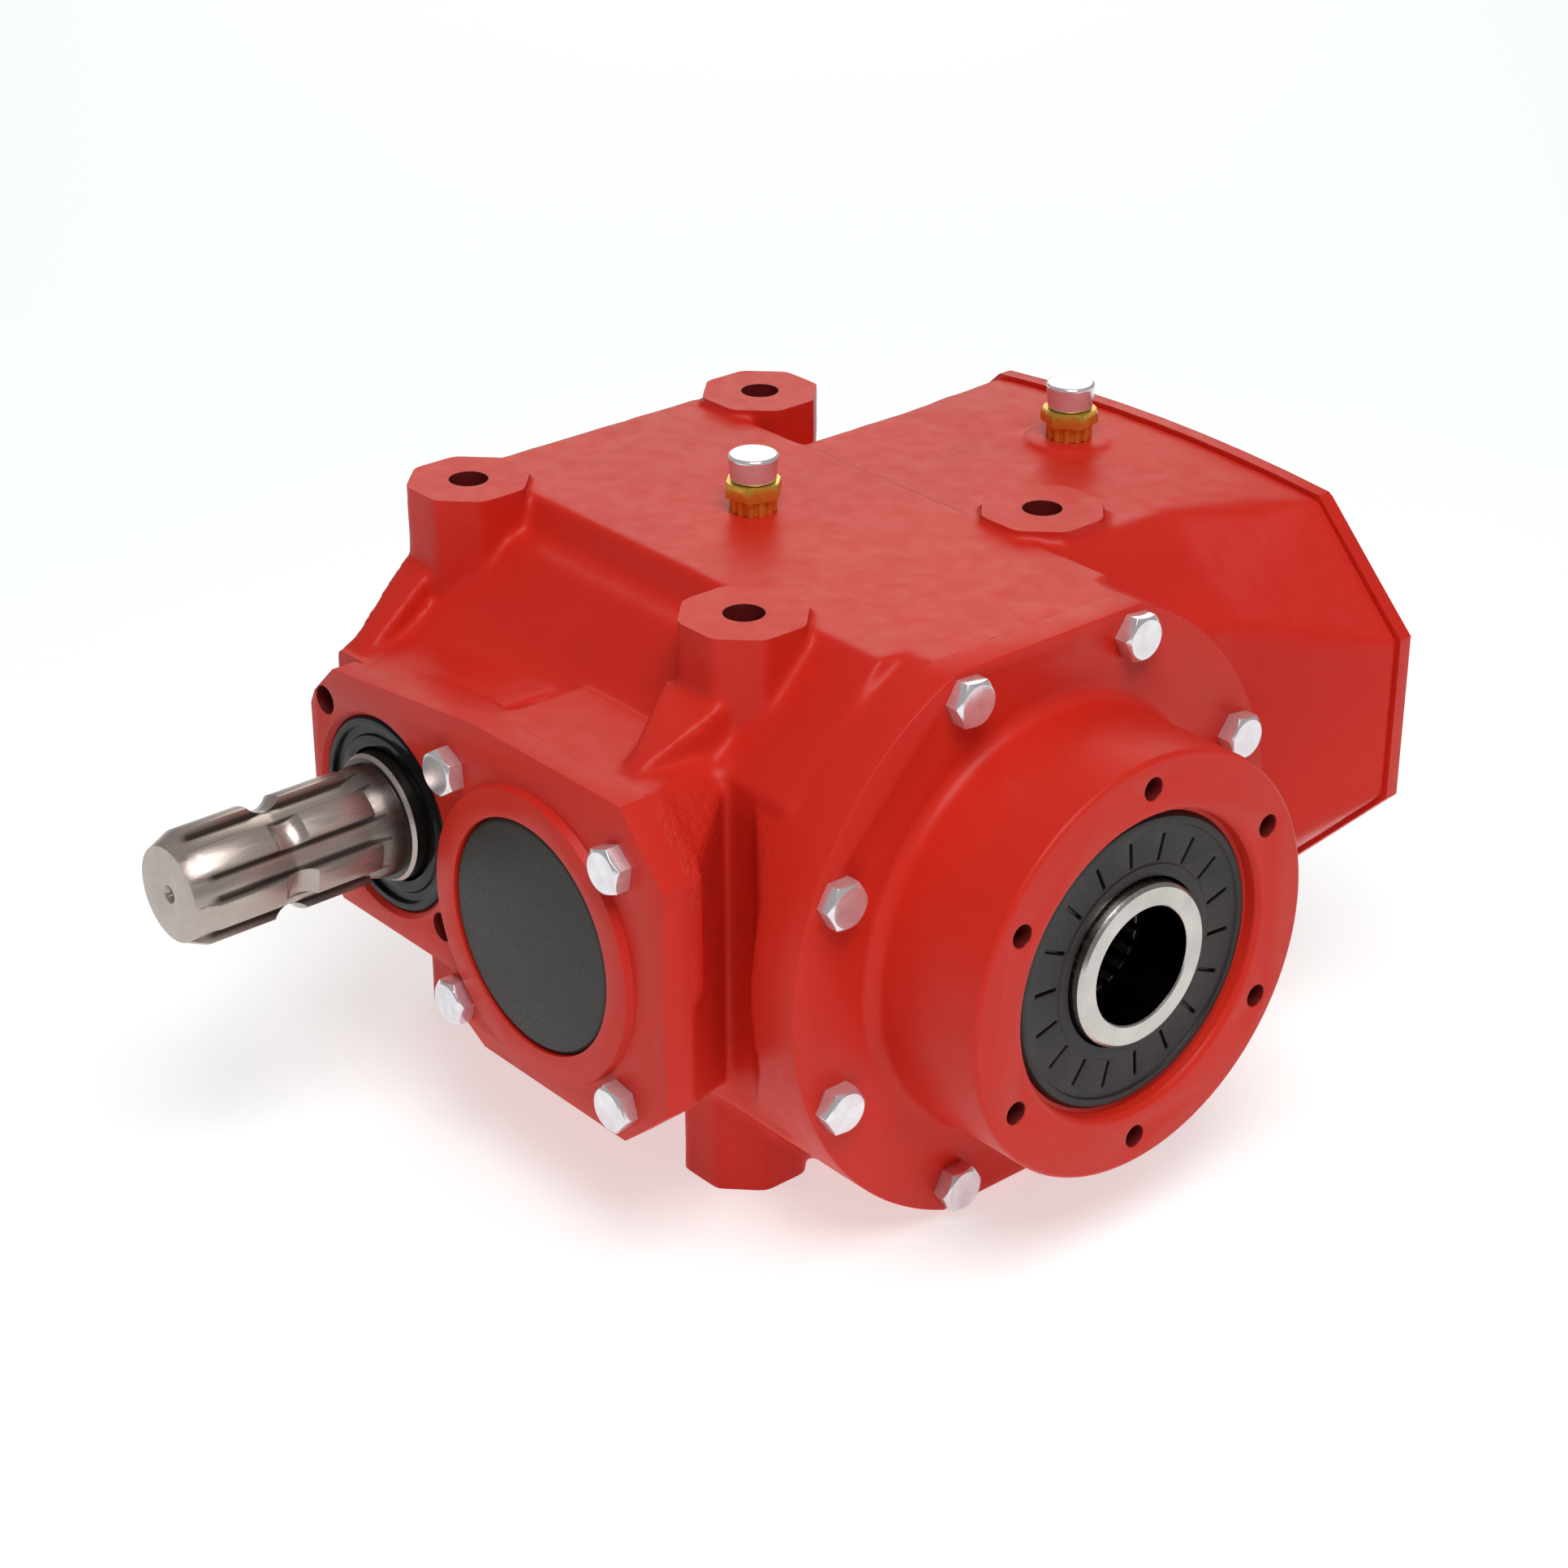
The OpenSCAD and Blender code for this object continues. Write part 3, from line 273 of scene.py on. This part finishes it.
def blend_loft(obj):
    """Melts the creases of the rear chamber's right side into one soft surface, up to its rim."""
    # All lengths here are in mm
    left, front, rim = 80, 52, 129
    group = obj.vertex_groups.new(name="loft")
    for v in obj.data.vertices:
        x, y, _ = v.co / MM
        weight = fade(x - left, 14) * fade(y - front, 14) * fade(rim - y, 10)
        if weight > 0:
            group.add([v.index], weight, "REPLACE")
    modify(obj, "SMOOTH", factor=0.5, iterations=70, vertex_group="loft")


def casting_lumps(obj, height, size):
    """Moves the points a little, the way a sand mould leaves its skin uneven."""
    mesh = obj.data
    count = len(mesh.vertices)
    co = np.empty(count * 3)
    mesh.vertices.foreach_get("co", co)
    normals = np.empty(count * 3)
    mesh.vertices.foreach_get("normal", normals)
    co = co.reshape(-1, 3)
    normals = normals.reshape(-1, 3)
    lumps = np.array([noise.fractal(Vector(p) / size, 0.8, 2.0, 3) for p in co])
    co += normals * (lumps * height)[:, None]
    mesh.vertices.foreach_set("co", co.ravel())
    mesh.update()


def housing_casting():
    """The casting with soft edges, and its machined faces and bores cut sharp after that."""
    bm = bmesh.new()
    bm.from_mesh(frame["nodes"]["housing"].data)
    bmesh.ops.remove_doubles(bm, verts=bm.verts, dist=WELD)
    bm.normal_update()
    stock_left_on(bm)
    obj = from_bmesh("housing_casting", bm)
    for fill in drilled(1 * MM):
        boolean(obj, fill, "UNION")
    modify(obj, "REMESH", mode="VOXEL", voxel_size=VOXEL, adaptivity=0)
    modify(obj, "SMOOTH", factor=0.5, iterations=9)
    blend_loft(obj)
    casting_lumps(obj, 0.12 * MM, 9 * MM)
    cut(obj, [
        block((-FAR, -FAR, housing_high.z), (FAR, FAR, FAR)),
        block((-FAR, -FAR, -FAR), (FAR, FAR, housing_low.z)),
        block((-FAR, -FAR, -FAR), (FAR, FRONT_PLANE, FAR)),
        block((-FAR, BACK_PLANE, -FAR), (FAR, FAR, FAR)),
        cylinder("x", (0, AXIS_Z), FLANGE_CUT_R, FLANGE_PLANE, FAR, 160),
    ])
    cut(obj, drilled(0))
    cut(obj, bearing_bores())
    smooth_shade(obj, 38)
    return obj


# ---------------------------------------------------------------- materials
def material(name):
    mat = bpy.data.materials.new(name)
    mat.use_nodes = True
    return mat, mat.node_tree, mat.node_tree.nodes["Principled BSDF"]


def node_of(tree, kind, **values):
    made = tree.nodes.new(kind)
    for key, value in values.items():
        if key in made.inputs:
            made.inputs[key].default_value = value
        else:
            setattr(made, key, value)
    return made


def object_space(tree, scale=(1, 1, 1)):
    coords = node_of(tree, "ShaderNodeTexCoord")
    mapping = node_of(tree, "ShaderNodeMapping", Scale=scale)
    tree.links.new(coords.outputs["Object"], mapping.inputs["Vector"])
    return mapping.outputs["Vector"]


def noise_of(tree, vector, scale, detail=3.0, roughness=0.55):
    made = node_of(tree, "ShaderNodeTexNoise", Scale=scale, Detail=detail, Roughness=roughness)
    tree.links.new(vector, made.inputs["Vector"])
    return made.outputs["Fac"]


def ramp_of(tree, source, low, high, low_value, high_value):
    """Maps a grey value from low..high to low_value..high_value."""
    made = node_of(tree, "ShaderNodeMapRange")
    ends = {"From Min": low, "From Max": high, "To Min": low_value, "To Max": high_value}
    for end, value in ends.items():
        made.inputs[end].default_value = value
    tree.links.new(source, made.inputs["Value"])
    return made.outputs["Result"]


def rising(tree, source, low, high, top=1):
    return ramp_of(tree, source, low, high, 0, top)


def falling(tree, source, low, high):
    return ramp_of(tree, source, low, high, 1, 0)


def colour_mix(tree, factor):
    """A mix of two colours: its two colour inputs and its colour output."""
    made = node_of(tree, "ShaderNodeMix", data_type="RGBA")
    tree.links.new(factor, made.inputs["Factor"])
    below, above = (socket for socket in made.inputs if socket.type == "RGBA")
    return below, above, next(socket for socket in made.outputs if socket.type == "RGBA")


def mixed(tree, factor, first, second):
    below, above, result = colour_mix(tree, factor)
    below.default_value = (*first, 1)
    above.default_value = (*second, 1)
    return result


def colour_where(tree, factor, source, colour):
    """This colour where the factor is 1, else what comes out of the source socket."""
    below, above, result = colour_mix(tree, factor)
    tree.links.new(source, below)
    above.default_value = (*colour, 1)
    return result


def base_colour_of(mat):
    """The socket that feeds a material's colour."""
    return mat.node_tree.nodes["Principled BSDF"].inputs["Base Color"].links[0].from_socket


def bump_of(tree, height, distance, strength=1.0, before=None):
    made = node_of(tree, "ShaderNodeBump", Strength=strength, Distance=distance)
    tree.links.new(height, made.inputs["Height"])
    if before is not None:
        tree.links.new(before, made.inputs["Normal"])
    return made.outputs["Normal"]


def math_of(tree, operation, first, second):
    made = node_of(tree, "ShaderNodeMath", operation=operation)
    for socket, value in zip(made.inputs, (first, second)):
        if isinstance(value, (int, float)):
            socket.default_value = value
        else:
            tree.links.new(value, socket)
    return made.outputs["Value"]


def away_from(tree, space, point, scale=(1, 1, 1)):
    """Distance from a point, after scaling each axis; a scale of 0 leaves that axis out."""
    offset = node_of(tree, "ShaderNodeVectorMath", operation="SUBTRACT")
    tree.links.new(space, offset.inputs[0])
    offset.inputs[1].default_value = point
    scaled = node_of(tree, "ShaderNodeVectorMath", operation="MULTIPLY")
    tree.links.new(offset.outputs["Vector"], scaled.inputs[0])
    scaled.inputs[1].default_value = scale
    length = node_of(tree, "ShaderNodeVectorMath", operation="LENGTH")
    tree.links.new(scaled.outputs["Vector"], length.inputs[0])
    return length.outputs["Value"]


PAINT_SHINE = 0.2
RED = (0.64, 0.0245, 0.0115)
DEEP_RED = (0.58, 0.019, 0.0100)
# Painted shade inside the drilled holes
HOLE_SHADE_RED = (0.14, 0.010, 0.010)
# Middle of the patch of rough sand skin on the right side of the neck
ROUGH_AT = (0.094, -0.098, 0.132)
# Stretch of the grinding marks on turned pieces, along their own axis
LENGTHWISE_Y = (1, 0.08, 1)
LENGTHWISE_X = (0.08, 1, 1)
# Angle of the first spline of the input shaft, and half the angle from one to the next
SPLINE_TURN = math.radians(50)
HALF_PITCH = math.radians(30)
FLANGE_CIRCLE_R = 56 * MM
FLANGE_HOLE_R = 3.4 * MM
GUARD_HOLE_R = 4.5 * MM
# Places of the guard holes beside the input shaft, in mm to the right and upwards
GUARD_PLACES = ((-28, 28), (-28, -28), (28, -26))


# Each hole is a point on its axis, the axis and the radius
def mounting_marks():
    return [((x, y, 0), Z, MOUNTING_R) for x, y in mounting_holes()]


def flange_marks():
    marks = []
    for i in range(6):
        turn = math.radians(30 + 60 * i)
        point = (0, FLANGE_CIRCLE_R * math.cos(turn), AXIS_Z + FLANGE_CIRCLE_R * math.sin(turn))
        marks.append((point, X, FLANGE_HOLE_R))
    return marks


def guard_marks():
    low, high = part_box("input_seal")
    centre = (low + high) / 2
    return [((centre.x + x * MM, 0, centre.z + z * MM), Y, GUARD_HOLE_R) for x, z in GUARD_PLACES]


def rough_patch(tree, space):
    """Rough sand skin around ROUGH_AT, fading out."""
    inside = falling(tree, away_from(tree, space, ROUGH_AT), 12 * MM, 22 * MM)
    return math_of(tree, "MULTIPLY", inside, noise_of(tree, space, 420, 4, 0.65))


def paint(name, roughness, cast=False, holes=()):
    """Red paint with painted shade inside the drilled holes; a cast surface is rougher."""
    mat, tree, shader = material(name)
    space = object_space(tree)
    colour = mixed(tree, rising(tree, noise_of(tree, space, 14, 4), 0.3, 0.7), DEEP_RED, RED)
    nearest = None
    for point, axis, radius in holes:
        across = [0 if i == axis else 1 for i in range(3)]
        distance = math_of(tree, "SUBTRACT", away_from(tree, space, point, across), radius)
        nearest = distance if nearest is None else math_of(tree, "MINIMUM", nearest, distance)
    if nearest is not None:
        # Painted shade on the inside of the holes
        colour = colour_where(tree, falling(tree, nearest, 0.05 * MM, 0.25 * MM), colour, HOLE_SHADE_RED)
    tree.links.new(colour, shader.inputs["Base Color"])
    fine = noise_of(tree, space, 160, 5, 0.6)
    gloss = ramp_of(tree, fine, 0.25, 0.75, roughness - 0.05, roughness + 0.08)
    tree.links.new(gloss, shader.inputs["Roughness"])
    skin = bump_of(tree, fine, 0.2 * MM if cast else 0.06 * MM, 0.5)
    if cast:
        skin = bump_of(tree, rough_patch(tree, space), 1.1 * MM, 0.9, skin)
    peel = noise_of(tree, space, 900, 2)
    tree.links.new(bump_of(tree, peel, 0.04 * MM, 0.4, skin), shader.inputs["Normal"])
    shader.inputs["Specular IOR Level"].default_value = PAINT_SHINE
    return mat


def metal(name, light, dark, roughness, scale=(1, 1, 1), grain=400,
          depth=0.03 * MM, patches=60, metallic=1.0):
    mat, tree, shader = material(name)
    space = object_space(tree)
    tone = rising(tree, noise_of(tree, space, patches, 3), 0.35, 0.65)
    tree.links.new(mixed(tree, tone, dark, light), shader.inputs["Base Color"])
    shader.inputs["Metallic"].default_value = metallic
    marks = noise_of(tree, object_space(tree, scale), grain, 3, 0.6)
    gloss = ramp_of(tree, marks, 0.3, 0.7, roughness * 0.75, roughness * 1.3)
    tree.links.new(gloss, shader.inputs["Roughness"])
    tree.links.new(bump_of(tree, marks, depth, 0.6), shader.inputs["Normal"])
    return mat


def rubber(name, light, dark, roughness, depth=0.01 * MM, shine=0.3):
    mat, tree, shader = material(name)
    space = object_space(tree)
    tone = rising(tree, noise_of(tree, space, 90, 4), 0.35, 0.65)
    tree.links.new(mixed(tree, tone, dark, light), shader.inputs["Base Color"])
    fine = noise_of(tree, space, 700, 3)
    gloss = ramp_of(tree, fine, 0.3, 0.7, roughness - 0.06, roughness + 0.08)
    tree.links.new(gloss, shader.inputs["Roughness"])
    tree.links.new(bump_of(tree, fine, depth, 0.5), shader.inputs["Normal"])
    shader.inputs["Specular IOR Level"].default_value = shine
    return mat


def bored_steel(name, light, dark, bore_shade, roughness):
    """Turned steel with painted shade inside its hollow, except on the tips of its inner splines."""
    mat = metal(name, light, dark, roughness, LENGTHWISE_X, 900, 0.01 * MM)
    tree = mat.node_tree
    radius = away_from(tree, object_space(tree), (0, 0, AXIS_Z), (0, 1, 1))
    bore_wall_shade = math_of(tree, "MULTIPLY", rising(tree, radius, 16.4 * MM, 16.8 * MM),
                   falling(tree, radius, 18.05 * MM, 18.2 * MM))
    # Painted shade inside the hollow shaft, left off the spline tips
    colour = colour_where(tree, bore_wall_shade, base_colour_of(mat), bore_shade)
    tree.links.new(colour, tree.nodes["Principled BSDF"].inputs["Base Color"])
    return mat


def angle_from_spline(tree, space, centre):
    """Angle around the shaft, measured from the middle of the nearest spline."""
    split = node_of(tree, "ShaderNodeSeparateXYZ")
    tree.links.new(space, split.inputs["Vector"])
    up = math_of(tree, "SUBTRACT", split.outputs["Z"], centre.z)
    right = math_of(tree, "SUBTRACT", split.outputs["X"], centre.x)
    turned = math_of(tree, "SUBTRACT", math_of(tree, "ARCTAN2", up, right), SPLINE_TURN)
    return math_of(tree, "PINGPONG", turned, HALF_PITCH)


def splined_steel(name, light, dark, shade, roughness):
    """Milled steel with painted shade along the foot of each outer spline, a painted reflection of the
    dark seal on the stretch before it, and a painted shadow under the seal lip.
    """
    mat = metal(name, light, dark, roughness, LENGTHWISE_Y, 700, 0.002 * MM, metallic=0.72)
    tree = mat.node_tree
    space = object_space(tree)
    shaft_low, shaft_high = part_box("input_shaft")
    centre = (shaft_low + shaft_high) / 2
    radius = away_from(tree, space, centre, (1, 0, 1))
    from_end = away_from(tree, space, shaft_low, (0, 1, 0))
    from_spline = angle_from_spline(tree, space, centre)
    # Painted shade along the foot of each spline
    foot = math_of(tree, "MULTIPLY", rising(tree, from_spline, math.radians(14.5), math.radians(16)),
                   falling(tree, from_spline, math.radians(19.5), math.radians(23)))
    foot = math_of(tree, "MULTIPLY", foot, falling(tree, radius, 16.9 * MM, 17.3 * MM))
    foot = math_of(tree, "MULTIPLY", foot, rising(tree, from_end, 5 * MM, 8 * MM, 0.9))
    # Painted reflection of the dark seal on the shaft near it
    seal_reflection = math_of(tree, "MULTIPLY", rising(tree, from_end, 54 * MM, 68 * MM, 0.92),
                      falling(tree, radius, 18.9 * MM, 19.1 * MM))
    # Painted shadow under the seal lip
    lip_shadow = rising(tree, from_end, 72.1 * MM, 72.3 * MM)
    shaded = math_of(tree, "MAXIMUM", math_of(tree, "MAXIMUM", foot, seal_reflection), lip_shadow)
    colour = colour_where(tree, shaded, base_colour_of(mat), shade)
    tree.links.new(colour, tree.nodes["Principled BSDF"].inputs["Base Color"])
    return mat


materials = {
    "red_paint": paint("cast_paint", 0.40, True, mounting_marks()),
    "cover_paint": paint("machined_paint", 0.38),
    "flange_paint": paint("flange_paint", 0.38, holes=flange_marks()),
    "plate_paint": paint("plate_paint", 0.38, holes=guard_marks()),
    "gasket_paper": paint("joint_paint", 0.45),
    "zinc": metal("zinc", (0.86, 0.85, 0.87), (0.76, 0.69, 0.73), 0.18,
                  patches=200, depth=0.006 * MM, metallic=0.72),
    "black_rubber": rubber("black_rubber", (0.006, 0.006, 0.006), (0.004, 0.004, 0.004), 0.16,
                           depth=0.006 * MM, shine=0.2),
    "cap_rubber": rubber("cap_rubber", (0.030, 0.025, 0.023), (0.025, 0.021, 0.019), 0.45),
    "brown_rubber": rubber("brown_rubber", (0.022, 0.016, 0.015), (0.016, 0.012, 0.011), 0.38),
    "brass": metal("brass", (0.80, 0.53, 0.10), (0.66, 0.40, 0.05), 0.28,
                   depth=0.01 * MM, metallic=0.75),
    "polished_steel": metal("polished_steel", (0.86, 0.84, 0.86), (0.76, 0.70, 0.74), 0.16,
                            depth=0.003 * MM, metallic=0.7),
    "plug_steel": metal("plug_steel", (0.34, 0.34, 0.35), (0.28, 0.28, 0.29), 0.4),
    "bearing_steel": metal("bearing_steel", (0.62, 0.62, 0.63), (0.56, 0.56, 0.57), 0.22),
    # Its third colour is the painted shade, shadow and reflection on the shaft
    "shaft_steel": splined_steel("shaft_steel", (0.50, 0.425, 0.385), (0.43, 0.36, 0.325),
                                 (0.035, 0.028, 0.025), 0.3),
    # Its third colour is the painted shade inside the hollow shaft
    "hollow_shaft_steel": bored_steel("hollow_shaft_steel", (0.62, 0.57, 0.54), (0.50, 0.46, 0.43),
                                      (0.025, 0.023, 0.022), 0.24),
    "gear_steel": metal("gear_steel", (0.42, 0.40, 0.39), (0.36, 0.34, 0.33), 0.32),
}
slot_of = {entry["node"]: entry["material_slot"] for entry in frame["record"]["subparts"]}


def dress(obj, material_name):
    obj.data.materials.clear()
    obj.data.materials.append(materials[material_name])


for node_name, node in frame["nodes"].items():
    dress(node, slot_of[node_name])


def piece(obj, node, material_name, body):
    """Puts a finished piece in the place of a CAD node."""
    dress(obj, material_name)
    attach(obj, body)
    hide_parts(node)


body_of = {}
for body, members in frame["record"]["behaviour"]["bodies"].items():
    body_of.update(dict.fromkeys(members, body))

piece(housing_casting(), "housing", "red_paint", "root")

# Machined pieces: the CAD shape with its edges rounded by this many mm, and the finish
REFINED = {
    "front_cover": (0.7, "plate_paint"),
    "output_cover": (0.8, "flange_paint"),
    "rear_cover": (1.0, "cover_paint"),
    "front_cover_bolts": (0.25, "zinc"),
    "output_cover_bolts": (0.25, "zinc"),
    "rear_cover_bolts": (0.25, "zinc"),
    "access_cap": (0.6, "cap_rubber"),
    "input_seal": (0.15, "black_rubber"),
    "output_seal": (0.15, "brown_rubber"),
    "input_shaft": (0.2, "shaft_steel"),
    "hollow_shaft": (0.4, "hollow_shaft_steel"),
    "front_breather_body": (0.2, "brass"),
    "rear_breather_body": (0.2, "brass"),
    "front_breather_cap": (0.2, "polished_steel"),
    "rear_breather_cap": (0.2, "polished_steel"),
}
# The planes in which the covers meet their gaskets, where a rounded edge would show as a gap
JOINTS = {
    "front_cover": (Y, float(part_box("front_cover")[1].y)),
    "rear_cover": (Y, float(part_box("rear_gasket")[1].y)),
    "output_cover": (X, float(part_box("output_gasket")[1].x)),
}
for node_name, (width_mm, finish) in REFINED.items():
    refined = cad_copy(node_name, node_name + "_piece")
    soften(refined, width_mm * MM, joint=JOINTS.get(node_name))
    piece(refined, node_name, finish, body_of[node_name])

# ---------------------------------------------------------------- floor and light
def floor_paint():
    mat, _, shader = material("floor")
    shader.inputs["Base Color"].default_value = (0.58, 0.64, 0.64, 1)
    shader.inputs["Roughness"].default_value = 0.9
    shader.inputs["Specular IOR Level"].default_value = 0.1
    shader.inputs["Emission Color"].default_value = (1, 1, 1, 1)
    shader.inputs["Emission Strength"].default_value = 0.56
    return mat


grid = bmesh.new()
bmesh.ops.create_grid(grid, x_segments=1, y_segments=1, size=6)
floor = from_bmesh("floor", grid)
floor.data.materials.append(floor_paint())


def area_light(name, at, target, size, power, colour=(1, 1, 1)):
    data = bpy.data.lights.new(name, "AREA")
    data.color = colour
    data.shape = "SQUARE"
    data.size = size
    data.energy = power
    lamp = bpy.data.objects.new(name, data)
    lamp.location = at
    lamp.rotation_euler = (Vector(target) - Vector(at)).to_track_quat("-Z", "Y").to_euler()
    scene.collection.objects.link(lamp)


area_light("key", (0.7, -0.35, 1.5), (0.03, 0, 0.1), 0.9, 17.5)
area_light("back", (-1.3, 1.1, 1.0), (0.03, 0, 0.15), 1.2, 7.5, (1, 0.96, 0.86))
world = bpy.data.worlds.new("world")
world.use_nodes = True
background = world.node_tree.nodes["Background"]
background.inputs["Color"].default_value = (1, 1, 1, 1)
background.inputs["Strength"].default_value = 0.25
scene.world = world
scene.view_settings.view_transform = "Standard"
